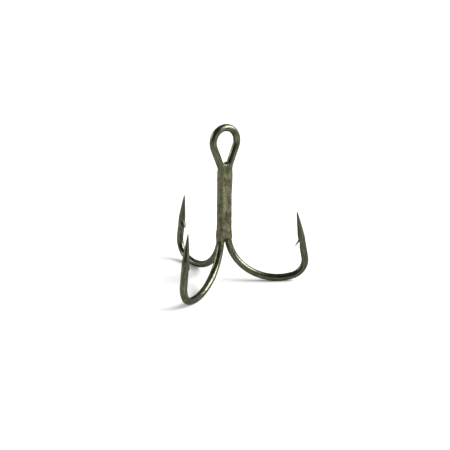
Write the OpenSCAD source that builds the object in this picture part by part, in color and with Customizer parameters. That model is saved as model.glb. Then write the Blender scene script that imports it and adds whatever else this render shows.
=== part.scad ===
// Treble fishing hook: three barbed hooks round one brazed shank, with a wire eye on top.
// Lengths are in millimetres and angles in degrees.
// The origin is the middle of the eye, and +Z runs up along the shank.
// The hole of the eye runs along Y.

/* [Wire] */
// Diameter of the hook wire
wire_d = 1.8; // [1.6:0.05:1.9]
// Gap between neighbouring wires in the shank, which the braze fills
wire_gap = 0.06; // [0.04:0.01:0.1]

/* [Shank] */
// Straight length of the shank, from the throat up to the fork under the eye
shank_len = 15.7; // [12:0.1:20]

/* [Eye] */
// Radius of the eye, to the middle of the wire
eye_r = 3.45; // [3.1:0.05:4]
// Lean of each leg of the eye away from the shank
eye_lean = 22.5; // [18:0.5:24]
// Bend radius of the fork, where a leg of the eye leaves the shank
fork_r = 3.6; // [3:0.1:4.2]

/* [Bend] */
// Radius of the throat, where the wire leaves the shank
throat_r = 12.3; // [11:0.1:14]
// Angle that the throat turns through
throat_turn = 56; // [50:1:60]
// Radius of the bottom of the bend
bottom_r = 13.8; // [12:0.1:16]
// Angle that the bottom turns through
bottom_turn = 49; // [40:1:52]
// Radius of the heel, under the point
heel_r = 4.3; // [4:0.1:5.5]

/* [Point] */
// Length of the straight spear, from the heel to the tip
spear_len = 12.4; // [11:0.2:14]
// Lean of the spear towards the shank
spear_lean = 11; // [6:0.5:13]
// Length of the ground point at the end of the spear
point_len = 6.5; // [6:0.5:7.5]
// Diameter of the very tip
tip_d = 0.14; // [0.1:0.02:0.3]

/* [Barb] */
// Distance from the tip to the root of the barb
barb_from_tip = 7.6; // [7.5:0.1:8.5]
// Length of the sliver that is cut up to make the barb
barb_len = 2; // [1.5:0.1:2.4]
// Depth of the cut at the root of the barb
barb_depth = 0.38; // [0.25:0.01:0.4]
// Angle that the sliver is lifted by
barb_lift = 34; // [25:1:38]

/* [Braze] */
// Thickness of the braze over the outside of the wires
braze_coat = 0.1; // [0.06:0.01:0.15]
// Dip of the braze between two wires, below the flat across them
braze_dip = 0.12; // [0.05:0.01:0.15]
// How far the braze runs down into the throats
braze_below = 2; // [1.6:0.1:3.2]
// How far the front seam climbs into the fork
braze_above = 2.2; // [1.4:0.1:2.4]

/* [Hidden] */
$fn = 48;

WIRE_COLOR = [0.27, 0.26, 0.21];
BRAZE_COLOR = [0.47, 0.45, 0.36];

wire_r = wire_d / 2;
wire_pitch = wire_d + wire_gap;
// Distance from the shank's axis to the middle of each wire
wire_place = wire_pitch / sqrt(3);
// The eye lies in the plane of the double hook's two wires, in front of the shank's axis
eye_offset = wire_place / 2;

// Which way each hook points, seen from above
SINGLE_ANGLE = 90;
DOUBLE_ANGLES = [-30, -150];
HOOK_ANGLES = [-30, 90, 210];
// Which way each seam between two wires faces
FRONT_SEAM = -90;
LEFT_SEAM = 150;
RIGHT_SEAM = 30;

// The straight legs of the eye reach from the forks to the eye's arc
eye_leg = (eye_r * cos(eye_lean) - wire_pitch / 2 - fork_r * (1 - cos(eye_lean))) / sin(eye_lean);
fork_z = -eye_r * sin(eye_lean) - eye_leg * cos(eye_lean) - fork_r * sin(eye_lean);
throat_z = fork_z - shank_len;

// Each bend is three arcs, whose angles run anticlockwise from the start of the throat
throat_end = 180 + throat_turn;
heel_start = throat_end + bottom_turn;
heel_end = 360 + spear_lean;
throat_centre = [wire_place + throat_r, throat_z];
bottom_centre = throat_centre + around(throat_r - bottom_r, throat_end);
heel_centre = bottom_centre + around(bottom_r - heel_r, heel_start);
spear_start = heel_centre + around(heel_r, heel_end);
barb_root = spear_len - barb_from_tip;

// The single hook's wire is cut off just above the fork
single_top = 1.2;
core_above = 0.8;
// The outer face of the braze, before it dips between the wires
braze_flat = wire_place / 2 + wire_r + braze_coat;
braze_dip_r = 3;
// The toe of a seam is shallow enough to clear the wires as they spread
toe_depth = wire_place / 2 + wire_r * sin(60);
POINT_STEPS = 6;
POINT_POWER = 0.8;
// Sides of the wire, and the most that it turns from one ring to the next
RING_SIDES = 24;
RING_STEP = 7;
FAR = 10;

// A point at a distance and an angle from the origin
function around(distance, angle) = distance * [cos(angle), sin(angle)];

// Radius of the ground point at a fraction of its length from the tip
function point_radius(fraction) = tip_d / 2 + (wire_r - tip_d / 2) * pow(fraction, POINT_POWER);

// Stations along an arc of wire, each [place, heading, radius of the wire].
// The wire turns anticlockwise with side = 1, and clockwise with side = -1.
function arc_stations(centre, radius, from, to, side) =
    let (steps = ceil(abs(to - from) / RING_STEP))
    [for (i = [0 : steps])
        let (angle = from + (to - from) * i / steps)
        [centre + around(radius, angle), angle + 90 * side, wire_r]];

// Stations of one bend, from the shank to the end of the heel
function bend_stations() = concat(
    arc_stations(throat_centre, throat_r, 180, throat_end, 1),
    arc_stations(bottom_centre, bottom_r, throat_end + RING_STEP, heel_start, 1),
    arc_stations(heel_centre, heel_r, heel_start + RING_STEP, heel_end, 1));

// Stations of the ground point, out to the tip
function point_stations() =
    [for (i = [POINT_STEPS : -1 : 0])
        let (to_tip = point_len * i / POINT_STEPS)
        [spear_start + around(spear_len - to_tip, heel_end + 90), heel_end + 90,
         point_radius(i / POINT_STEPS)]];

// Stations of the eye and its two forks, from the right shank over to the left one
function eye_stations() = concat(
    arc_stations([wire_pitch / 2 + fork_r, fork_z], fork_r, 180, 180 - eye_lean, -1),
    arc_stations([0, 0], eye_r, -eye_lean, 180 + eye_lean, 1),
    arc_stations([-wire_pitch / 2 - fork_r, fork_z], fork_r, 360 + eye_lean, 360, -1));

// The corners of the ring round the wire at a station, in the upright plane that faces an angle.
// The corners run the other way round with spin = -1.
function ring(station, angle, spin) =
    let (
        out = [cos(angle), sin(angle), 0],
        across = [-sin(angle), cos(angle), 0],
        along = out * cos(station[1]) + [0, 0, sin(station[1])],
        middle = out * station[0][0] + [0, 0, station[0][1]]
    )
    [for (i = [0 : RING_SIDES - 1])
        let (turn = spin * 360 * i / RING_SIDES - angle)
        middle + station[2] * (across * cos(turn) + cross(across, along) * sin(turn))];

// The rings of one hook, from the shank to the tip
function hook_rings(angle, spin) =
    [for (station = concat(bend_stations(), point_stations())) ring(station, angle, spin)];

function reversed(list) = [for (i = [len(list) - 1 : -1 : 0]) list[i]];

// A solid wire through a list of rings
module wire(rings) {
    last = len(rings) - 1;
    polyhedron(
        points = [for (corners = rings) each corners],
        faces = [
            [for (i = [0 : RING_SIDES - 1]) i],
            [for (i = [RING_SIDES - 1 : -1 : 0]) last * RING_SIDES + i],
            for (k = [0 : last - 1])
                for (i = [0 : RING_SIDES - 1])
                    let (next = (i + 1) % RING_SIDES)
                    each [
                        [k * RING_SIDES + i, (k + 1) * RING_SIDES + i, (k + 1) * RING_SIDES + next],
                        [k * RING_SIDES + i, (k + 1) * RING_SIDES + next, k * RING_SIDES + next]
                    ]
        ]
    );
}

// The wedge of wire that the barb's cut takes off the side at -X, as a cutting block
module barb_cut() {
    translate([-wire_r, -FAR / 2, barb_root - barb_len])
        rotate([0, atan2(barb_depth, barb_len), 0])
            translate([-FAR, 0, 0])
                cube([FAR, FAR, barb_len / cos(atan2(barb_depth, barb_len))]);
}

// The sliver of the wire that becomes the barb, where it was before it was lifted
module barb_sliver() {
    intersection() {
        cylinder(r = wire_r, h = spear_len - point_len);
        barb_cut();
    }
}

// Puts its children on one hook's spear, with +Z along the spear and -X towards the shank
module on_spear(angle) {
    rotate([0, 0, angle])
        translate([spear_start[0], 0, spear_start[1]])
            rotate([0, -spear_lean, 0])
                children();
}

// Cuts the barbs of the hooks at the angles given, and lifts their slivers
module barbed(angles) {
    difference() {
        children();
        for (angle = angles)
            on_spear(angle)
                barb_cut();
    }
    for (angle = angles)
        on_spear(angle)
            translate([barb_depth - wire_r, 0, barb_root])
                rotate([0, barb_lift, 0])
                    translate([wire_r - barb_depth, 0, -barb_root])
                        barb_sliver();
}

// The wire of two hooks, bent round into the eye between them
module double_wire() {
    eye_rings = [
        for (station = eye_stations())
            [for (corner = ring(station, 0, 1)) corner - [0, eye_offset, 0]]
    ];
    wire(concat(
        reversed(hook_rings(DOUBLE_ANGLES[0], -1)),
        eye_rings,
        hook_rings(DOUBLE_ANGLES[1], 1)));
}

// The wire of the third hook, cut off at the fork
module single_wire() {
    top = [[wire_place, fork_z + single_top], -90, wire_r];
    wire(concat([ring(top, SINGLE_ANGLE, 1)], hook_rings(SINGLE_ANGLE, 1)));
}

// The triangle between the middles of the three wires
module core_triangle() {
    polygon([for (angle = HOOK_ANGLES) around(wire_place, angle)]);
}

// The outside of the braze, seen along the shank
module braze_outline() {
    difference() {
        union() {
            for (angle = HOOK_ANGLES)
                translate(around(wire_place, angle))
                    circle(wire_r + braze_coat);
            polygon([
                for (angle = HOOK_ANGLES)
                    for (side = [-60, 60])
                        around(wire_place, angle) + around(wire_r + braze_coat, angle + side)
            ]);
        }
        for (angle = [FRONT_SEAM, LEFT_SEAM, RIGHT_SEAM])
            translate(around(braze_flat - braze_dip + braze_dip_r, angle))
                circle(braze_dip_r);
    }
}

// The shank's three wires, seen along the shank
module wire_circles() {
    for (angle = HOOK_ANGLES)
        translate(around(wire_place, angle))
            circle(wire_r);
}

// The third of the braze that lies on one side of the shank
module seam_outline(angle) {
    difference() {
        intersection() {
            braze_outline();
            polygon([[0, 0], around(FAR, angle - 60), around(FAR, angle + 60)]);
        }
        core_triangle();
        wire_circles();
    }
}

// A block round the shank that leaves only the part of a seam between its two wires
module seam_trimmer(angle, depth) {
    difference() {
        translate([-FAR, -FAR])
            square(2 * FAR);
        rotate(angle)
            translate([0, -wire_pitch / 2])
                square([depth, wire_pitch]);
    }
}

// A seam of braze. Its toe, in the throat, and its top, in the fork, stay between its two wires.
module braze_seam(angle, above) {
    difference() {
        translate([0, 0, throat_z - braze_below])
            linear_extrude(braze_below + shank_len + above)
                seam_outline(angle);
        translate([0, 0, throat_z - FAR])
            linear_extrude(FAR)
                seam_trimmer(angle, toe_depth);
        translate([0, 0, fork_z])
            linear_extrude(FAR)
                seam_trimmer(angle, braze_flat);
    }
}

// Puts the eye's plane on the origin
module placed() {
    translate([0, eye_offset, 0])
        children();
}

module double_hook_wire() {
    color(WIRE_COLOR)
        placed()
            barbed(DOUBLE_ANGLES)
                double_wire();
}

module single_hook_wire() {
    color(WIRE_COLOR)
        placed()
            barbed([SINGLE_ANGLE])
                single_wire();
}

module braze_core() {
    color(BRAZE_COLOR)
        placed()
            translate([0, 0, throat_z - braze_below])
                linear_extrude(braze_below + shank_len + core_above)
                    difference() {
                        core_triangle();
                        wire_circles();
                    }
}

module braze_seam_front() {
    color(BRAZE_COLOR)
        placed()
            braze_seam(FRONT_SEAM, braze_above);
}

module braze_seam_left() {
    color(BRAZE_COLOR)
        placed()
            braze_seam(LEFT_SEAM, 0);
}

module braze_seam_right() {
    color(BRAZE_COLOR)
        placed()
            braze_seam(RIGHT_SEAM, 0);
}

double_hook_wire();
single_hook_wire();
braze_core();
braze_seam_front();
braze_seam_left();
braze_seam_right();
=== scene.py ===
import math

import bpy
import numpy as np
from mathutils import Matrix, Vector, noise


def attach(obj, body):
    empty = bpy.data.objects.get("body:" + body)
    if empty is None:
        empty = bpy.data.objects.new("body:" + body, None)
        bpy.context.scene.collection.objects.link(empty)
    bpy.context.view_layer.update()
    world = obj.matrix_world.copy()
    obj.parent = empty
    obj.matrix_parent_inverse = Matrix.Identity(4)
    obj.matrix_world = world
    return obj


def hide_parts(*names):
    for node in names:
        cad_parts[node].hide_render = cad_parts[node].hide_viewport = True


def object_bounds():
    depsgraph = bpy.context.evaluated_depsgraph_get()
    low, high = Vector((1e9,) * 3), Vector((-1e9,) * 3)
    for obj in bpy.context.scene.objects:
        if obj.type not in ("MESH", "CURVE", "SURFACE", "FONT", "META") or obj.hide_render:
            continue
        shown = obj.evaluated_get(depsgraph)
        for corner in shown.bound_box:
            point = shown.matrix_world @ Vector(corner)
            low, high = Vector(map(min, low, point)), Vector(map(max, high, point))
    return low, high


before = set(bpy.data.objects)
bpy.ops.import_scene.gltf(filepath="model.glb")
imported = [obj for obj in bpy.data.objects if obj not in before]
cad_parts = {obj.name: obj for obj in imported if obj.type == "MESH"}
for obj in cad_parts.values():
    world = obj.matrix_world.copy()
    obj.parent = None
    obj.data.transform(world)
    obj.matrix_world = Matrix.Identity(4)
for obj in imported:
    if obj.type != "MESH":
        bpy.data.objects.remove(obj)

CAD_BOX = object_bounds()

# Lengths are in millimetres until a mesh is made, and MM turns them into metres.
MM = 0.001

# ---------------------------------------------------------------- driving dimensions, as in the CAD
WIRE_R = 0.9
WIRE_GAP = 0.06
SHANK_LEN = 15.7
EYE_R = 3.45
EYE_LEAN = math.radians(22.5)
FORK_R = 3.6
THROAT_R = 12.3
THROAT_TURN = math.radians(56)
BOTTOM_R = 13.8
BOTTOM_TURN = math.radians(49)
HEEL_R = 4.3
SPEAR_LEN = 12.4
SPEAR_LEAN = math.radians(11)
POINT_LEN = 6.5
POINT_POWER = 0.8
TIP_R = 0.07
BARB_FROM_TIP = 7.6
BARB_LEN = 2.0
BARB_DEPTH = 0.38
BARB_LIFT = math.radians(34)
SINGLE_TOP = 1.2
RIGHT_ANGLE = math.radians(-30)
SINGLE_ANGLE = math.radians(90)
LEFT_ANGLE = math.radians(-150)

# ---------------------------------------------------------------- worked out from them
WIRE_PITCH = 2 * WIRE_R + WIRE_GAP
WIRE_PLACE = WIRE_PITCH / math.sqrt(3)
# The shank's axis lies behind the plane of the eye, which is the plane y = 0
SHANK_AXIS = np.array([0, WIRE_PLACE / 2, 0])
EYE_LEG = (
    EYE_R * math.cos(EYE_LEAN) - WIRE_PITCH / 2 - FORK_R * (1 - math.cos(EYE_LEAN))
) / math.sin(EYE_LEAN)
FORK_Z = -EYE_R * math.sin(EYE_LEAN) - EYE_LEG * math.cos(EYE_LEAN) - FORK_R * math.sin(EYE_LEAN)
THROAT_Z = FORK_Z - SHANK_LEN
BARB_ROOT = SPEAR_LEN - BARB_FROM_TIP

# ---------------------------------------------------------------- fineness of the wire meshes
RING_SIDES = 64
RING_STEP = 0.16
STRAIGHT_STEP = 0.3
POINT_STEP = 0.1
CUT_STEPS = 32
NOSE_STEPS = 20
END_STEPS = 9
NOSE_LEN = 0.4
# The nose's rings crowd towards the tip by this power, and a share of the tip's section is left at its end
NOSE_CROWDING = 1.5
TIP_LEFT = 0.02
# The plain spear goes on this far past the barb's cut, and a cut this much too deep still counts as one
PAST_CUT = 0.01
CUT_ROOM = 1.0001
FAR_FROM_TIP = 50.0

# The braze: thickness over the wires, dip between them, and where it ends
COAT = 0.1
BRAZE_DIP = 0.1
COLLAR = 0.16
COLLAR_LEN = 4.5
COLLAR_LEFT = 0.1
LEFT_TAIL = 1.1
TAIL_ANGLE = math.radians(172)
RUN_ANGLE = math.radians(-34)
RUN_LEN = 7.0
RUN_COAT = 0.16
RUN_TOP = (0.8, 2.0)
BRAZE_BOTTOM = THROAT_Z - 2.0
FORK_FILL = FORK_Z + 2.4
SLEEVE_TURNS = 256
SLEEVE_ROWS = 350

# Fineness and shape of the barbs, and the wire's slight unevenness
BARB_SIDES = 17
BARB_STEPS = 24
# A barb's sliver starts a little inside the wire, and stops just short of its edge's vanishing
BARB_SPAN = (-0.08, 0.985)
# The cut's dark look sets in over this share of the barb's depth
CUT_EDGE = 0.3
BARB_CURL = math.radians(5)
SHARP_ANGLE = math.radians(40)
WIRE_WAVES = (1.6, 0.012)
WAVE_SEED = 4
# The braze's thinning at the fork and its rolled edge there
FADE = 1.3
FADE_SPAN = (-1.2, 0.9)
FORK_DIP = 0.75
FORK_ROLL = 0.8
FORK_CURVE = 1.5
# Height of its top over the fork, at the sides and beside the single wire
TOP_SIDE = 0.7
TOP_BACK = 0.9
# A seam between two wires isn't drawn along rays that meet its face at a smaller slant
LEAST_SLANT = 0.2
# Its lumps: size and height of each wave, its least radius, and how far its two ends wave
SKIN_WAVES = ((1.1, 0.05), (0.42, 0.032), (0.17, 0.02))
CORE_R = 0.1
LOW_WAVE = 0.1
TOP_WAVE = 0.3
# Place and fineness of the noise that the ends' waves follow
LOW_NOISE = (7.0, 1.2)
TOP_NOISE = (3.0, 2.2)
LOW_RISE = 0.35
# The hollow low in the front groove, whose dark colour is painted shade: where it is, how deep, and how
# far the braze hangs down there
HOLLOW_ANGLE = math.radians(-92)
HOLLOW_HEIGHT = 0.75
HOLLOW_DEPTH = 0.5
HOLLOW_DROP = 0.75
HOLLOW_EDGE = 0.15
# From so many degrees off a middle to so many, something sets in: the fork's fill, the top behind,
# the hollow, the tail at the lower left, and the rounding behind
FRONT_ANGLE = -math.pi / 2
FORK_SPAN = (95, 45)
TOP_BACK_SPAN = (40, 10)
HOLLOW_SPAN = (34, 18)
TAIL_SPAN = (48, 15)
BACK_SPAN = (70, 45)
BLISTER_SEED = 11
BLISTER_COUNT = 80
BLISTER_RADII = (0.14, 0.34)
BLISTER_HEIGHTS = (-0.12, 0.08)
# The closed ends: rings, how far in they go, a dish below and a dome above, and the rounded rims
END_ROWS = 14
END_SHARE = 0.98
EDGE_SHARE = 0.008
EDGE_SCALE = 0.97
EDGE_RISE = 0.03
BOTTOM_DISH = 0.9
TOP_DOME = 0.12
TOP_SHRINK = 0.6
BACK_ROUND = 0.32
BACK_ROUND_LEN = 0.8
WIRE_END_ROUND = 0.4
# Single blisters and pits: turn in degrees, height above the fork, radius and height
MARKS = (
    (-92, -3.9, 0.4, 0.07), (-128, -4.4, 0.32, -0.05), (-152, -8.4, 0.3, -0.12),
    (-116, 1.3, 0.2, 0.1), (-110, 0.4, 0.16, 0.09),
)

# Colours of the wire and the braze, the range of their roughness, and their clear coat's weight and
# roughness. Four numbers say where a pattern sets in and is full, and its share at each
WIRE_DARK = (0.02, 0.021, 0.007)
WIRE_OLIVE = (0.043, 0.045, 0.021)
WIRE_BROWN = (0.072, 0.064, 0.038)
WIRE_LIGHT = (0.155, 0.157, 0.097)
WIRE_SPECK = (0.02, 0.02, 0.006)
WIRE_POINT = (0.05, 0.051, 0.031)
WIRE_CUT = (0.02, 0.02, 0.013)
WIRE_GLOSS = (0.13, 0.25)
WIRE_COAT = (0.42, 0.08)
DRAW_LINES = (18, 0.5, 1)
# Patterns of the wire's skin: size in millimetres, detail and roughness of each noise. Bumps have a
# strength and a height
LINE_NOISE = (1.0, 4.0, 0.6)
WIRE_PATCH_NOISE = (1.8, 4.0, 0.65)
SPECK_NOISE = (0.3, 3.0, 0.6)
WIRE_STOPS = (0.3, 0.52, 0.68)
LINE_BUMP = (0.7, 0.025)
SPECK_BUMP = (0.6, 0.04)
# Both metals run through their range of roughness between these tones of their patches
GLOSS_SPAN = (0.3, 0.7)
LINE_SHARE = (0.45, 0.66, 0, 0.75)
SPECK_SHARE = (0.52, 0.66, 0, 0.85)
SPECK_GLOSS = (0.45, 0.75, 0, 0.12)
# Share of the dark cut colour on the barb's cut, and of painted shade in the braze's hollow
CUT_AND_HOLLOW_SHADE_SHARE = 0.9
CUT_GLOSS = 0.3
POINT_SHARE = 0.6
POINT_GLOSS = 0.14
# The ground point's look sets in between these places, measured from where its taper starts
POINT_FADE = (2, -1)
# The wire is darker from and to these places along X, which is the right hook: a guess that fits its tone
DARK_SIDE = (3, 12, 0, 0.33)
BRAZE_DARK = (0.037, 0.038, 0.017)
BRAZE_OLIVE = (0.088, 0.088, 0.048)
BRAZE_PALE = (0.14, 0.138, 0.083)
BRAZE_BROWN = (0.092, 0.084, 0.066)
# Dark colour of the braze's pits, also painted as shade in the hollow low in the front groove
BRAZE_PIT_AND_HOLLOW_SHADE = (0.015, 0.015, 0.008)
# Pale specks on the braze: painted glints
BRAZE_GLINT = (0.3, 0.29, 0.19)
BRAZE_GLOSS = (0.36, 0.52)
BRAZE_COAT = (0.2, 0.3)
# Patterns of the braze, as for the wire, and how they are stretched
BRAZE_PATCH_NOISE = (1.2, 4.0, 0.62)
BRAZE_PATCH_STRETCH = (1.0, 1.0, 0.6)
STAIN_NOISE = (1.3, 4.0, 0.6)
STAIN_STRETCH = (1.0, 1.0, 0.4)
GRAIN_NOISE = (0.22, 4.0, 0.65)
PIT_SIZE = 0.7
GLINT_SIZE = 0.42
GLINT_STRETCH = (1.0, 1.3, 0.8)
BRAZE_STOPS = (0.38, 0.5, 0.64)
PIT_SLOPE = (0.0, 0.2, 0, 1)
PIT_BUMP = (0.5, 0.03)
GRAIN_BUMP = (0.6, 0.05)
STAIN_SHARE = (0.52, 0.66, 0, 0.7)
GRAIN_SHARE = (0.5, 0.68, 0, 0.5)
GRAIN_GLOSS = (0.4, 0.8, -0.05, 0.12)
PIT_SHARE = (0.2, 0.08, 0, 0.8)
GLINT_SHARE = (0.13, 0.05, 0, 0.35)
# The braze turns to the wire's colour over this span of heights round the fork, up to this share
THIN_SPAN = (-0.8, 0.9)
THIN_SHARE = 0.85
PAPER_DARK = (0.73, 0.735, 0.725)
PAPER_PALE = (0.76, 0.765, 0.755)
PAPER_NOISE = (60.0, 2.0)
PAPER_STOPS = (0.3, 0.7)
PAPER_ROUGHNESS = 0.85
PAPER_SHINE = 0.2
# The wire and the braze reflect only weakly at the edges that face away
EDGE_TINT = (0.1, 0.1, 0.08, 1)

# The view: angles, the distance, and where the middle of the picture falls
VIEW_AZIMUTH = math.radians(-34.2)
VIEW_ELEVATION = math.radians(18.3)
VIEW_ROLL = math.radians(0.43)
VIEW_DISTANCE = 216.1
AIM_Z = -16.0
AIM_RIGHT = 0.4
AIM_UP = -5.12
SENSOR_WIDTH = 36.0
LENS = 69.6
CLIP_START = 0.01
FLOOR_HALF = 3000.0
RANGE_INPUTS = ("From Min", "From Max", "To Min", "To Max")
# The room's tones: turn and rise of the middle of a patch, then how its tone runs with nearness to it
ROOM_DARK = (-20, 45, (0.45, 0.92, 0.66, 0.15))
ROOM_GLOW = (95, 15, (0.55, 0.97, 0.0, 1.4))
# Each light: name, turn and rise in degrees, width in degrees, strength, colour
LIGHTS = (
    ("key", 86, 30, 42, 6.3, (1.0, 0.998, 0.99)),
    ("fill", -98, 20, 40, 1.7, (1.0, 0.995, 0.98)),
)


def around(distance, angle):
    """A point at a distance and an angle from the origin of a plane."""
    return distance * np.array([math.cos(angle), math.sin(angle)])


def smooth(value, low, high):
    """Rises smoothly from 0 at low to 1 at high."""
    part = np.clip((value - low) / (high - low), 0, 1)
    return part * part * (3 - 2 * part)


# ---------------------------------------------------------------- wire paths
def sample(place, along, inward, radius=WIRE_R, reach=WIRE_R, to_tip=FAR_FROM_TIP):
    """One sample of a wire's middle line. Its surface comes no nearer to the shank than reach."""
    return {
        "place": place, "along": along, "inward": inward,
        "radius": radius, "reach": reach, "to_tip": to_tip,
    }


def in_plane(angle, spot):
    """A point or a direction of the upright plane that faces an angle, in space."""
    return np.array([spot[0] * math.cos(angle), spot[0] * math.sin(angle), spot[1]])


def arc_samples(angle, centre, radius, start, end, side):
    """An arc of wire. side is 1 where it turns anticlockwise in its plane, and -1 clockwise."""
    steps = max(2, math.ceil(abs(end - start) * radius / RING_STEP))
    for i in range(steps):
        turn = start + (end - start) * i / steps
        along = in_plane(angle, around(1, turn + side * math.pi / 2))
        inward = in_plane(angle, -side * around(1, turn))
        yield sample(in_plane(angle, centre + around(radius, turn)), along, inward)


def line_samples(angle, start, heading, length):
    """A straight of plain wire."""
    along = in_plane(angle, around(1, heading))
    inward = in_plane(angle, around(1, heading + math.pi / 2))
    for step in np.linspace(0, length, math.ceil(length / STRAIGHT_STEP), endpoint=False):
        yield sample(in_plane(angle, start) + along * step, along, inward)


def bend_centres():
    """Centres and turning points of the throat, the bottom and the heel, in a hook's plane."""
    throat = np.array([WIRE_PLACE + THROAT_R, THROAT_Z])
    throat_end = math.pi + THROAT_TURN
    bottom = throat + around(THROAT_R - BOTTOM_R, throat_end)
    heel_start = throat_end + BOTTOM_TURN
    heel = bottom + around(BOTTOM_R - HEEL_R, heel_start)
    return throat, throat_end, bottom, heel_start, heel


def spear_place():
    """Start and heading of the spear, in a hook's plane."""
    heel_end = 2 * math.pi + SPEAR_LEAN
    return bend_centres()[4] + around(HEEL_R, heel_end), heel_end + math.pi / 2


def spear_samples(angle):
    """The straight spear with its barb's cut and its ground point."""
    start, heading = spear_place()
    along = in_plane(angle, around(1, heading))
    inward = in_plane(angle, around(1, heading + math.pi / 2))
    below = np.arange(0, BARB_ROOT - BARB_LEN, STRAIGHT_STEP)
    cut = np.linspace(BARB_ROOT - BARB_LEN, BARB_ROOT, CUT_STEPS)
    above = np.arange(BARB_ROOT + PAST_CUT, SPEAR_LEN - NOSE_LEN, POINT_STEP)
    nose = SPEAR_LEN - NOSE_LEN * np.linspace(1, 0, NOSE_STEPS) ** NOSE_CROWDING
    for length in np.concatenate([below, cut, above, nose]):
        to_tip = SPEAR_LEN - length
        fraction = min(to_tip / POINT_LEN, 1)
        radius = TIP_R + (WIRE_R - TIP_R) * fraction**POINT_POWER
        rounding = min(to_tip / TIP_R, 1)
        radius *= math.sqrt(max(1 - (1 - rounding) ** 2, TIP_LEFT))
        depth = BARB_DEPTH * (length - BARB_ROOT + BARB_LEN) / BARB_LEN
        reach = WIRE_R - depth if 0 < depth <= BARB_DEPTH * CUT_ROOM else WIRE_R
        yield sample(in_plane(angle, start) + along * length, along, inward, radius, reach, to_tip)


def hook_samples(angle):
    """One hook, from the start of its throat to its tip."""
    throat, throat_end, bottom, heel_start, heel = bend_centres()
    yield from arc_samples(angle, throat, THROAT_R, math.pi, throat_end, 1)
    yield from arc_samples(angle, bottom, BOTTOM_R, throat_end, heel_start, 1)
    yield from arc_samples(angle, heel, HEEL_R, heel_start, 2 * math.pi + SPEAR_LEAN, 1)
    yield from spear_samples(angle)


def eye_samples():
    """The right shank, the eye and the left shank, in the eye's plane."""
    half = WIRE_PITCH / 2
    fork = np.array([half + FORK_R, FORK_Z])
    leg_start = fork + around(FORK_R, math.pi - EYE_LEAN)
    yield from line_samples(0, (half, THROAT_Z), math.pi / 2, SHANK_LEN)
    yield from arc_samples(0, fork, FORK_R, math.pi, math.pi - EYE_LEAN, -1)
    yield from line_samples(0, leg_start, math.pi / 2 - EYE_LEAN, EYE_LEG)
    yield from arc_samples(0, np.zeros(2), EYE_R, -EYE_LEAN, math.pi + EYE_LEAN, 1)
    yield from line_samples(0, around(EYE_R, math.pi + EYE_LEAN), 1.5 * math.pi + EYE_LEAN, EYE_LEG)
    yield from arc_samples(0, fork * (-1, 1), FORK_R, EYE_LEAN, 0, -1)
    yield from line_samples(0, (-half, FORK_Z), 1.5 * math.pi, SHANK_LEN)


def moved(samples, shift):
    """The same samples, shifted."""
    for item in samples:
        item["place"] = item["place"] + shift
        yield item


def backwards(samples):
    """The same samples, met from the other end."""
    for item in reversed(list(samples)):
        item["along"] = -item["along"]
        yield item


# ---------------------------------------------------------------- wire meshes
def ring_frames(path):
    """A pair of side vectors for each sample, that turn as little as they can."""
    side = np.cross(path[0]["along"], path[0]["inward"])
    for item in path:
        side = side - item["along"] * np.dot(side, item["along"])
        side = side / np.linalg.norm(side)
        yield side, np.cross(item["along"], side)


def wire_skin(path):
    """A closed skin round a wire's samples: its corners, faces, UV corners and tip distances."""
    turns = np.arange(RING_SIDES) * 2 * math.pi / RING_SIDES
    corners, to_tip, cut, run = [], [], [], [0.0]
    for item, (side, other) in zip(path, ring_frames(path)):
        ring = item["radius"] * (np.outer(np.cos(turns), side) + np.outer(np.sin(turns), other))
        over = np.clip(ring @ item["inward"] - item["reach"], 0, None)
        corners.extend(item["place"] + ring - np.outer(over, item["inward"]))
        to_tip.extend([item["to_tip"]] * RING_SIDES)
        cut.extend(np.clip(over / (CUT_EDGE * BARB_DEPTH), 0, 1))
    for first, second in zip(path, path[1:]):
        run.append(run[-1] + np.linalg.norm(second["place"] - first["place"]))
    faces, uvs = [], []
    for k in range(len(path) - 1):
        low, high = k * RING_SIDES, (k + 1) * RING_SIDES
        for i in range(RING_SIDES):
            j = (i + 1) % RING_SIDES
            faces.append((low + i, low + j, high + j, high + i))
            left, right = i / RING_SIDES, (i + 1) / RING_SIDES
            uvs.extend([(left, run[k]), (right, run[k]), (right, run[k + 1]), (left, run[k + 1])])
    last = (len(path) - 1) * RING_SIDES
    for cap in (range(RING_SIDES - 1, -1, -1), range(last, last + RING_SIDES)):
        faces.append(tuple(cap))
        uvs.extend([(0.0, run[-1] if cap[0] == last else 0.0)] * RING_SIDES)
    return corners, faces, uvs, to_tip, cut


def barb_skin(angle):
    """The lifted sliver of one barb, as a closed skin that is rooted inside the wire."""
    start, heading = spear_place()
    along = in_plane(angle, around(1, heading))
    inward = in_plane(angle, around(1, heading + math.pi / 2))
    aside = np.cross(along, inward)
    pivot = in_plane(angle, start) + along * BARB_ROOT + inward * (WIRE_R - BARB_DEPTH)
    corners, faces = [], []
    shares = np.linspace(-1, 1, BARB_SIDES)
    for step in np.linspace(*BARB_SPAN, BARB_STEPS):
        level = WIRE_R - BARB_DEPTH * (1 - step)
        spread = math.acos(min(level / WIRE_R, 1))
        outer = [(WIRE_R * math.cos(spread * s), WIRE_R * math.sin(spread * s)) for s in shares]
        inner = [(level, WIRE_R * math.sin(spread * s)) for s in shares[-2:0:-1]]
        lift = BARB_LIFT + BARB_CURL * max(step, 0) ** 2
        for height, width in outer + inner:
            rise, back = height - WIRE_R + BARB_DEPTH, BARB_LEN * step
            turned_rise = rise * math.cos(lift) + back * math.sin(lift)
            turned_back = back * math.cos(lift) - rise * math.sin(lift)
            corners.append(pivot + inward * turned_rise - along * turned_back + aside * width)
    count = len(shares) * 2 - 2
    for k in range(BARB_STEPS - 1):
        for i in range(count):
            j = (i + 1) % count
            faces.append((k * count + i, (k + 1) * count + i, (k + 1) * count + j, k * count + j))
    faces.append(tuple(range(count)))
    faces.append(tuple(range(BARB_STEPS * count - 1, (BARB_STEPS - 1) * count - 1, -1)))
    return corners, faces


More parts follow.
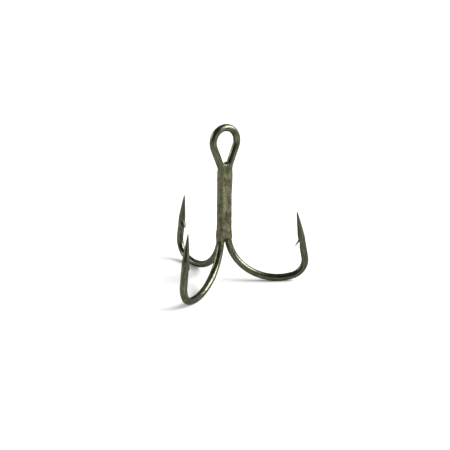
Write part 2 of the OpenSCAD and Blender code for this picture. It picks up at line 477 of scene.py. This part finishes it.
def add_barbs(skin, angles):
    """Joins the barbs of some hooks to a wire's skin."""
    corners, faces, uvs, to_tip, cut = skin
    for angle in angles:
        barb_corners, barb_faces = barb_skin(angle)
        first = len(corners)
        corners.extend(corner + SHANK_AXIS for corner in barb_corners)
        to_tip.extend([BARB_FROM_TIP] * len(barb_corners))
        cut.extend([1.0] * len(barb_corners))
        for face in barb_faces:
            faces.append(tuple(first + i for i in face))
            uvs.extend([(0.5, BARB_ROOT)] * len(face))
    return skin


def make_piece(name, corners, faces, uvs=None, to_tip=None, cut=None):
    """A smooth mesh object from corners in millimetres."""
    mesh = bpy.data.meshes.new(name)
    mesh.from_pydata([tuple(corner) for corner in np.array(corners) * MM], [], faces)
    if uvs:
        layer = mesh.uv_layers.new(name="run")
        layer.data.foreach_set("uv", np.array(uvs, dtype=np.float32).ravel())
    for title, numbers in (("to_tip", to_tip), ("cut", cut)):
        if numbers:
            values = mesh.attributes.new(title, "FLOAT", "POINT")
            values.data.foreach_set("value", np.array(numbers, dtype=np.float32))
    mesh.shade_smooth()
    mesh.set_sharp_from_angle(angle=SHARP_ANGLE)
    mesh.update()
    piece = bpy.data.objects.new(name, mesh)
    bpy.context.scene.collection.objects.link(piece)
    return piece


def uneven(corners, size, height, detail=2):
    """Moves corners a little, as a smooth three-way noise of a size and a height would."""
    # Without a seed, the three-way noise starts from the clock and differs from run to run
    noise.seed_set(WAVE_SEED)
    out = []
    for corner in corners:
        push = Vector((0.0, 0.0, 0.0))
        for octave in range(detail):
            push += noise.noise_vector(Vector(corner) * (2**octave / size)) / 2**octave
        out.append(np.array(corner) + np.array(push) * height)
    return out


def make_double_wire():
    right = backwards(moved(hook_samples(RIGHT_ANGLE), SHANK_AXIS))
    left = moved(hook_samples(LEFT_ANGLE), SHANK_AXIS)
    _, *eye = eye_samples()
    path = [*right, *eye, *left]
    corners, *rest = add_barbs(wire_skin(path), (RIGHT_ANGLE, LEFT_ANGLE))
    return make_piece("double_wire", uneven(corners, *WIRE_WAVES), *rest)


def rounded_end(samples):
    """The same wire, with a rounded rim where it starts."""
    first, *rest = samples
    for turn in np.linspace(0, math.pi / 2, END_STEPS):
        drop = WIRE_END_ROUND * (1 - math.cos(turn))
        radius = WIRE_R - WIRE_END_ROUND * (1 - math.sin(turn))
        yield sample(first["place"] + first["along"] * drop, first["along"], first["inward"], radius)
    for item in rest:
        if np.linalg.norm(item["place"] - first["place"]) > WIRE_END_ROUND:
            yield item


def make_single_wire():
    top = (WIRE_PLACE, FORK_Z + SINGLE_TOP)
    shank = line_samples(SINGLE_ANGLE, top, -math.pi / 2, SHANK_LEN + SINGLE_TOP)
    path = list(moved([*rounded_end(shank), *hook_samples(SINGLE_ANGLE)], SHANK_AXIS))
    corners, *rest = add_barbs(wire_skin(path), (SINGLE_ANGLE,))
    return make_piece("single_wire", uneven(corners, *WIRE_WAVES), *rest)


# ---------------------------------------------------------------- the braze
def wire_middles(z):
    """Where the right, the single and the left wire pass some heights, seen from the shank's axis."""
    below = np.clip(THROAT_Z - z, 0, None)
    above = np.clip(z - FORK_Z, 0, None)
    bent = np.minimum(above, FORK_R * math.sin(EYE_LEAN))
    place = WIRE_PLACE + THROAT_R - np.sqrt(THROAT_R**2 - below**2)
    spread = FORK_R - np.sqrt(FORK_R**2 - bent**2) + (above - bent) * math.tan(EYE_LEAN)
    right, single, left = (
        np.outer(place, around(1, angle)) for angle in (RIGHT_ANGLE, SINGLE_ANGLE, LEFT_ANGLE)
    )
    right[:, 0] += spread
    left[:, 0] -= spread
    return right, single, left


def dot(first, second):
    """The dot product of each row with its partner."""
    return np.einsum("ij,ij->i", first, second)


def wire_reach(rays, middles, radius):
    """How far along each ray the skin of a coated wire lies, or 0 where the ray misses it."""
    across = rays[:, 0] * middles[:, 1] - rays[:, 1] * middles[:, 0]
    half = radius**2 - across**2
    return np.where(half > 0, dot(rays, middles) + np.sqrt(np.clip(half, 0, None)), 0)


def bridge_reach(rays, first, second, thickness, dip):
    """How far along each ray the braze reaches that bridges two wires."""
    step = second - first
    gap = np.linalg.norm(step, axis=1)
    aside = step / gap[:, None]
    face = np.stack([aside[:, 1], -aside[:, 0]], axis=1)
    slant = np.clip(dot(rays, face), LEAST_SLANT, None)
    reach = (dot(first, face) + thickness) / slant
    share = (reach * dot(rays, aside) - dot(first, aside)) / gap
    inside = (share > 0) & (share < 1) & (dot(rays, face) > LEAST_SLANT)
    return np.where(inside, reach - dip * np.sin(math.pi * share) ** 2 / slant, 0)


def extra_coat(rays, z):
    """Where the braze is thicker: a collar low down, most to the left, and a run at the right."""
    toward_run = dot(rays, np.tile(around(1, RUN_ANGLE), (len(z), 1)))
    left = np.clip(-toward_run, 0, 1)
    collar = (COLLAR + COLLAR_LEFT * left) * smooth(-z, -BRAZE_BOTTOM - COLLAR_LEN, -BRAZE_BOTTOM)
    beside = np.clip(toward_run, 0, 1) ** 2
    above = smooth(z, FORK_Z + RUN_TOP[0], FORK_Z + RUN_TOP[1])
    down = smooth(z, FORK_Z - RUN_LEN, FORK_Z) * (1 - above)
    return collar + RUN_COAT * beside * down


def sleeve_reach(rays, z):
    """How far the braze reaches from the shank's axis along some rays, without its lumps."""
    right, single, left = wire_middles(z)
    fade = smooth(z, FORK_Z + FADE_SPAN[0], FORK_Z + FADE_SPAN[1])
    coat = COAT * (1 - FADE * fade) + extra_coat(rays, z)
    radius = WIRE_R + coat * (1 - FADE * smooth(-z, -BRAZE_BOTTOM, LEFT_TAIL - BRAZE_BOTTOM))
    fork_dip = BRAZE_DIP + FORK_DIP * smooth(z, FORK_FILL - FORK_ROLL, FORK_FILL) ** FORK_CURVE
    reaches = [np.full(len(z), CORE_R)]
    reaches += [wire_reach(rays, middles, radius) for middles in (right, single, left)]
    reaches.append(bridge_reach(rays, left, right, radius, fork_dip))
    reaches.append(bridge_reach(rays, right, single, radius, BRAZE_DIP))
    reaches.append(bridge_reach(rays, single, left, radius, BRAZE_DIP))
    return np.max(reaches, axis=0)


def near(angles, middle, far, close):
    """Rises smoothly from 0, far degrees off a middle angle, to 1 within close degrees of it."""
    off = np.abs(np.remainder(angles - middle + math.pi, 2 * math.pi) - math.pi)
    return smooth(-off, -math.radians(far), -math.radians(close))


def wave_round(rays, place, fineness):
    """A smooth noise round the shank, met at a place and a fineness."""
    return np.array([noise.noise(Vector((*ray, place)) * fineness) for ray in rays])


def sleeve_top(angles):
    """Height at which the braze ends: highest in the fork, then beside the single wire, lowest between."""
    fork = near(angles, FRONT_ANGLE, *FORK_SPAN)
    back = near(angles, SINGLE_ANGLE, *TOP_BACK_SPAN)
    return FORK_Z + TOP_SIDE + (FORK_FILL - FORK_Z - TOP_SIDE) * fork + TOP_BACK * back


def lumps(spots, blisters):
    """Height of the braze's lumps, blisters and pits at points of its surface."""
    wave = np.zeros(len(spots))
    for size, height in SKIN_WAVES:
        wave += height * np.array([noise.noise(Vector(spot)) for spot in spots / size])
    # Each blister or pit has a shallow ring of the other sense round its foot
    for place, radius, height in blisters:
        away = np.linalg.norm(spots - place, axis=1) / radius
        wave += height * (np.exp(-2 * away**2) - 0.5 * np.exp(-8 * (away - 1) ** 2))
    return wave


def beside_hollow(angles):
    """Share of the hollow that the braze leaves low in the front groove, between two wires, painted dark
    as shade.
    """
    return near(angles, HOLLOW_ANGLE, *HOLLOW_SPAN)


def hollow(angles, heights):
    """Share of the hollow's full depth at points of the braze, and of the painted shade that darkens it.
    """
    return beside_hollow(angles) * smooth(BRAZE_BOTTOM + HOLLOW_HEIGHT - heights, 0, HOLLOW_EDGE)


def marked_blister(turn, height, radius, lift):
    """One blister or pit at a chosen place of the braze."""
    ray, z = around(1, math.radians(turn))[None, :], np.array([FORK_Z + height])
    return np.array([*(ray * sleeve_reach(ray, z))[0], z[0]]), radius, lift


def scattered_blisters():
    """Blisters and pits in the skin of the braze, at seeded random places."""
    random = np.random.default_rng(BLISTER_SEED)
    angles = random.uniform(0, 2 * math.pi, BLISTER_COUNT)
    z = random.uniform(BRAZE_BOTTOM + 1, FORK_Z, BLISTER_COUNT)
    rays = np.stack([np.cos(angles), np.sin(angles)], axis=1)
    places = np.column_stack([rays * sleeve_reach(rays, z)[:, None], z])
    radii = random.uniform(*BLISTER_RADII, BLISTER_COUNT)
    heights = random.uniform(*BLISTER_HEIGHTS, BLISTER_COUNT)
    return [*zip(places, radii, heights), *(marked_blister(*mark) for mark in MARKS)]


def make_braze():
    """The braze as one skin round the shank, closed by a low dome on top and a dish below."""
    blisters = scattered_blisters()
    angles = np.arange(SLEEVE_TURNS) * 2 * math.pi / SLEEVE_TURNS
    rays = np.stack([np.cos(angles), np.sin(angles)], axis=1)
    tops = sleeve_top(angles)
    tops += TOP_WAVE * wave_round(rays, *TOP_NOISE)
    lows = BRAZE_BOTTOM + LOW_RISE + LOW_WAVE * wave_round(rays, *LOW_NOISE)
    lows -= HOLLOW_DROP * beside_hollow(angles)
    lows -= LEFT_TAIL * near(angles, TAIL_ANGLE, *TAIL_SPAN)
    back = near(angles, SINGLE_ANGLE, *BACK_SPAN)
    ends = np.linspace(0, END_SHARE, END_ROWS)[1:]
    corners, cut = [], []

    def ring(heights, scale):
        reach = sleeve_reach(rays, heights)
        spots = np.column_stack([rays * reach[:, None], heights])
        empty = hollow(angles, heights)
        # The hollow's share is kept in the cut attribute, which the braze's material paints dark as shade
        cut.extend(empty)
        grown = (reach + lumps(spots, blisters) - HOLLOW_DEPTH * empty) * scale
        corners.extend(np.column_stack([rays * grown[:, None], heights]) + SHANK_AXIS)

    for end in reversed(ends):
        ring(lows + (lows.mean() - lows) * end + BOTTOM_DISH * end**2, EDGE_SCALE * math.sqrt(1 - end))
    for share in np.linspace(0, 1, SLEEVE_ROWS):
        edge = min(share / EDGE_SHARE, 1)
        below_top = np.clip((tops - lows) * (1 - share) / BACK_ROUND_LEN, 0, 1)
        rounded = 1 - BACK_ROUND * back * (1 - np.sqrt(1 - (1 - below_top) ** 2))
        rim = EDGE_SCALE + EDGE_RISE * math.sqrt(1 - (1 - edge) ** 2)
        ring(lows + (tops - lows) * share, rim * rounded)
    for end in ends:
        middle = tops + (tops.mean() - tops) * end + TOP_DOME * math.sin(end * math.pi / 2)
        ring(middle, (1 - end) ** TOP_SHRINK * (1 - BACK_ROUND * back))
    rows = len(corners) // SLEEVE_TURNS
    faces = []
    for k in range(rows - 1):
        low, high = k * SLEEVE_TURNS, (k + 1) * SLEEVE_TURNS
        for i in range(SLEEVE_TURNS):
            j = (i + 1) % SLEEVE_TURNS
            faces.append((low + i, low + j, high + j, high + i))
    faces.append(tuple(range(SLEEVE_TURNS - 1, -1, -1)))
    faces.append(tuple(range((rows - 1) * SLEEVE_TURNS, rows * SLEEVE_TURNS)))
    return make_piece("braze", corners, faces, cut=cut)


# ---------------------------------------------------------------- materials
class Nodes:
    """Short calls that add nodes to one material."""

    def __init__(self, name):
        self.material = bpy.data.materials.new(name)
        self.material.use_nodes = True
        self.tree = self.material.node_tree
        self.shader = self.tree.nodes["Principled BSDF"]

    def add(self, kind, **settings):
        node = self.tree.nodes.new(kind)
        for name, value in settings.items():
            setattr(node, name, value)
        return node

    def join(self, start, end):
        self.tree.links.new(start, end)

    def millimetres(self, stretch=(1, 1, 1)):
        """Object coordinates in millimetres."""
        place = self.add("ShaderNodeTexCoord")
        scale = self.add("ShaderNodeMapping")
        scale.inputs["Scale"].default_value = [s / MM for s in stretch]
        self.join(place.outputs["Object"], scale.inputs["Vector"])
        return scale.outputs["Vector"]

    def noise(self, vector, size, detail=3.0, roughness=0.55):
        node = self.add("ShaderNodeTexNoise")
        node.inputs["Scale"].default_value = 1 / size
        node.inputs["Detail"].default_value = detail
        node.inputs["Roughness"].default_value = roughness
        self.join(vector, node.inputs["Vector"])
        return node.outputs["Fac"]

    def spots(self, vector, size):
        node = self.add("ShaderNodeTexVoronoi")
        node.inputs["Scale"].default_value = 1 / size
        self.join(vector, node.inputs["Vector"])
        return node.outputs["Distance"]

    def ramp(self, value, positions, *colours):
        """A colour ramp through some colours at their positions."""
        node = self.add("ShaderNodeValToRGB")
        for _ in colours[2:]:
            node.color_ramp.elements.new(0.5)
        for element, position, colour in zip(node.color_ramp.elements, positions, colours):
            element.position = position
            element.color = (*colour, 1)
        self.join(value, node.inputs["Fac"])
        return node.outputs["Color"]

    def range(self, value, low, high, new_low, new_high):
        node = self.add("ShaderNodeMapRange")
        for name, number in zip(RANGE_INPUTS, (low, high, new_low, new_high)):
            node.inputs[name].default_value = number
        self.join(value, node.inputs["Value"])
        return node.outputs["Result"]

    def mix(self, share, first, second, blend="MIX"):
        node = self.add("ShaderNodeMix", data_type="RGBA", blend_type=blend)
        self.join(share, node.inputs["Factor"])
        for end, value in ((node.inputs[6], first), (node.inputs[7], second)):
            if isinstance(value, tuple):
                end.default_value = (*value, 1)
            else:
                self.join(value, end)
        return node.outputs[2]

    def maths(self, operation, first, second):
        node = self.add("ShaderNodeMath", operation=operation)
        for end, value in zip(node.inputs, (first, second)):
            if isinstance(value, (int, float)):
                end.default_value = value
            else:
                self.join(value, end)
        return node.outputs["Value"]

    def bump(self, height, strength, distance, normal=None):
        node = self.add("ShaderNodeBump")
        node.inputs["Strength"].default_value = strength
        node.inputs["Distance"].default_value = distance * MM
        self.join(height, node.inputs["Height"])
        if normal is not None:
            self.join(normal, node.inputs["Normal"])
        return node.outputs["Normal"]

    def lacquered(self, coat):
        """Makes the material bare metal under a clear coat of a weight and a roughness."""
        self.shader.inputs["Metallic"].default_value = 1.0
        self.shader.inputs["Specular Tint"].default_value = EDGE_TINT
        for name, number in zip(("Coat Weight", "Coat Roughness"), coat):
            self.shader.inputs[name].default_value = number


def bronzed_wire():
    """Drawn steel under a thin bronze lacquer: olive, with browner patches and fine draw lines."""
    n = Nodes("bronzed_wire")
    where = n.millimetres()
    run = n.add("ShaderNodeUVMap", uv_map="run")
    stretch = n.add("ShaderNodeMapping")
    stretch.inputs["Scale"].default_value = DRAW_LINES
    n.join(run.outputs["UV"], stretch.inputs["Vector"])
    lines = n.noise(stretch.outputs["Vector"], *LINE_NOISE)
    patches = n.noise(where, *WIRE_PATCH_NOISE)
    specks = n.noise(where, *SPECK_NOISE)
    colour = n.ramp(patches, WIRE_STOPS, WIRE_DARK, WIRE_OLIVE, WIRE_BROWN)
    colour = n.mix(n.range(lines, *LINE_SHARE), colour, WIRE_LIGHT)
    colour = n.mix(n.range(specks, *SPECK_SHARE), colour, WIRE_SPECK)
    place = n.add("ShaderNodeSeparateXYZ")
    n.join(where, place.inputs["Vector"])
    colour = n.mix(n.range(place.outputs["X"], *DARK_SIDE), colour, WIRE_DARK)
    tip = n.add("ShaderNodeAttribute", attribute_name="to_tip").outputs["Fac"]
    wear_and_painted_glints = n.range(tip, POINT_LEN + POINT_FADE[0], POINT_LEN + POINT_FADE[1], 0, 1)
    colour = n.mix(n.maths("MULTIPLY", wear_and_painted_glints, POINT_SHARE), colour, WIRE_POINT)
    cut = n.add("ShaderNodeAttribute", attribute_name="cut").outputs["Fac"]
    colour = n.mix(n.maths("MULTIPLY", cut, CUT_AND_HOLLOW_SHADE_SHARE), colour, WIRE_CUT)
    n.join(colour, n.shader.inputs["Base Color"])
    gloss = n.range(patches, *GLOSS_SPAN, *WIRE_GLOSS)
    gloss = n.maths("ADD", gloss, n.range(specks, *SPECK_GLOSS))
    gloss = n.maths("ADD", gloss, n.maths("MULTIPLY", cut, CUT_GLOSS))
    n.join(n.maths("ADD", gloss, n.maths("MULTIPLY", wear_and_painted_glints, POINT_GLOSS)), n.shader.inputs["Roughness"])
    n.lacquered(WIRE_COAT)
    scratched = n.bump(lines, *LINE_BUMP)
    n.join(n.bump(specks, *SPECK_BUMP, scratched), n.shader.inputs["Normal"])
    return n.material


def dull_braze():
    """Brazing metal under the same lacquer: duller, paler, lumpy, with brown stains, dark pits, pale
    specks painted as glints, and painted shade in the hollow low in the front groove.
    """
    n = Nodes("dull_braze")
    where = n.millimetres()
    patches = n.noise(n.millimetres(BRAZE_PATCH_STRETCH), *BRAZE_PATCH_NOISE)
    stains = n.noise(n.millimetres(STAIN_STRETCH), *STAIN_NOISE)
    grain = n.noise(where, *GRAIN_NOISE)
    pits = n.spots(where, PIT_SIZE)
    colour = n.ramp(patches, BRAZE_STOPS, BRAZE_DARK, BRAZE_OLIVE, BRAZE_PALE)
    colour = n.mix(n.range(stains, *STAIN_SHARE), colour, BRAZE_BROWN)
    colour = n.mix(n.range(grain, *GRAIN_SHARE), colour, BRAZE_DARK)
    colour = n.mix(n.range(pits, *PIT_SHARE), colour, BRAZE_PIT_AND_HOLLOW_SHADE)
    # Pale specks of a lighter colour: painted glints
    wear_and_painted_glints = n.spots(n.millimetres(GLINT_STRETCH), GLINT_SIZE)
    colour = n.mix(n.range(wear_and_painted_glints, *GLINT_SHARE), colour, BRAZE_GLINT)
    height = n.add("ShaderNodeSeparateXYZ")
    n.join(where, height.inputs["Vector"])
    low, high = (FORK_Z + step for step in THIN_SPAN)
    thin = n.range(height.outputs["Z"], low, high, 0, THIN_SHARE)
    colour = n.mix(thin, colour, WIRE_OLIVE)
    # On the braze the cut attribute holds the share of the front groove's hollow, painted dark as shade
    cut = n.add("ShaderNodeAttribute", attribute_name="cut").outputs["Fac"]
    colour = n.mix(n.maths("MULTIPLY", cut, CUT_AND_HOLLOW_SHADE_SHARE), colour, BRAZE_PIT_AND_HOLLOW_SHADE)
    n.join(colour, n.shader.inputs["Base Color"])
    rough = n.range(patches, *GLOSS_SPAN, *BRAZE_GLOSS)
    n.join(n.maths("ADD", rough, n.range(grain, *GRAIN_GLOSS)), n.shader.inputs["Roughness"])
    n.lacquered(BRAZE_COAT)
    pitted = n.bump(n.range(pits, *PIT_SLOPE), *PIT_BUMP)
    n.join(n.bump(grain, *GRAIN_BUMP, pitted), n.shader.inputs["Normal"])
    return n.material


def pale_paper():
    """The white sheet that the hook stands on."""
    n = Nodes("pale_paper")
    tone = n.noise(n.millimetres(), *PAPER_NOISE)
    n.join(n.ramp(tone, PAPER_STOPS, PAPER_DARK, PAPER_PALE), n.shader.inputs["Base Color"])
    n.shader.inputs["Roughness"].default_value = PAPER_ROUGHNESS
    n.shader.inputs["Specular IOR Level"].default_value = PAPER_SHINE
    return n.material


# ---------------------------------------------------------------- stage, light and camera
def make_floor():
    half = FLOOR_HALF
    low = CAD_BOX[0][2] / MM
    corners = [(-half, -half, low), (half, -half, low), (half, half, low), (-half, half, low)]
    floor = make_piece("floor", corners, [(0, 1, 2, 3)])
    floor.data.materials.append(pale_paper())


def view_axes():
    """The camera's right, up and backward directions."""
    back = Vector((
        math.sin(VIEW_AZIMUTH) * math.cos(VIEW_ELEVATION),
        -math.cos(VIEW_AZIMUTH) * math.cos(VIEW_ELEVATION),
        math.sin(VIEW_ELEVATION),
    ))
    right = Vector((math.cos(VIEW_AZIMUTH), math.sin(VIEW_AZIMUTH), 0))
    turn = Matrix.Rotation(VIEW_ROLL, 3, back)
    return turn @ right, turn @ back.cross(right), back


def make_camera():
    right, up, back = view_axes()
    place = Vector((0, 0, AIM_Z)) + Vector(SHANK_AXIS)
    place += back * VIEW_DISTANCE + right * AIM_RIGHT + up * AIM_UP
    camera = bpy.data.objects.new("camera", bpy.data.cameras.new("camera"))
    axes = Matrix((right, up, back)).transposed().to_4x4()
    camera.matrix_world = Matrix.Translation(place * MM) @ axes
    camera.data.sensor_width = SENSOR_WIDTH
    camera.data.lens = LENS
    camera.data.clip_start = CLIP_START
    bpy.context.scene.collection.objects.link(camera)
    bpy.context.scene.camera = camera


def light_way(turn, rise):
    """Direction from the hook to a light: turned from the camera towards its right, and raised."""
    _, _, back = view_axes()
    right = Vector((math.cos(VIEW_AZIMUTH), math.sin(VIEW_AZIMUTH), 0))
    level = Vector((back.x, back.y, 0)).normalized()
    across = level * math.cos(turn) + right * math.sin(turn)
    return across * math.cos(rise) + Vector((0, 0, math.sin(rise)))


def make_light(name, turn, rise, width, strength, colour):
    """A far soft light, a disc as wide as an angle."""
    light = bpy.data.lights.new(name, "SUN")
    light.angle = math.radians(width)
    light.energy = strength
    light.color = colour
    holder = bpy.data.objects.new(name, light)
    way = light_way(math.radians(turn), math.radians(rise))
    holder.rotation_euler = way.to_track_quat("Z", "Y").to_euler()
    bpy.context.scene.collection.objects.link(holder)


def make_room():
    """A grey room that the wire reflects: dark above and behind the camera, glowing near the key."""
    world = bpy.data.worlds.new("room")
    world.use_nodes = True
    tree = world.node_tree
    place = tree.nodes.new("ShaderNodeTexCoord")

    def toward(turn, rise, limits):
        facing = tree.nodes.new("ShaderNodeVectorMath")
        facing.operation = "DOT_PRODUCT"
        facing.inputs[1].default_value = light_way(math.radians(turn), math.radians(rise))
        tree.links.new(place.outputs["Generated"], facing.inputs[0])
        tone = tree.nodes.new("ShaderNodeMapRange")
        tone.interpolation_type = "SMOOTHSTEP"
        for name, number in zip(RANGE_INPUTS, limits):
            tone.inputs[name].default_value = number
        tree.links.new(facing.outputs["Value"], tone.inputs["Value"])
        return tone.outputs["Result"]

    both = tree.nodes.new("ShaderNodeMath")
    tree.links.new(toward(*ROOM_DARK), both.inputs[0])
    tree.links.new(toward(*ROOM_GLOW), both.inputs[1])
    tree.links.new(both.outputs["Value"], tree.nodes["Background"].inputs["Color"])
    bpy.context.scene.world = world


# ---------------------------------------------------------------- putting it together
def show(piece, material, slot, *nodes):
    piece.data.materials.append(material)
    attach(piece, "root")
    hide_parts(*nodes)


WIRE_MATERIAL = bronzed_wire()
show(make_double_wire(), WIRE_MATERIAL, "bronzed_wire", "double_hook_wire")
show(make_single_wire(), WIRE_MATERIAL, "bronzed_wire", "single_hook_wire")
show(
    make_braze(), dull_braze(), "braze",
    "braze_core", "braze_seam_front", "braze_seam_left", "braze_seam_right",
)
make_floor()
make_room()
for light in LIGHTS:
    make_light(*light)
make_camera()
bpy.context.scene.view_settings.view_transform = "Standard"
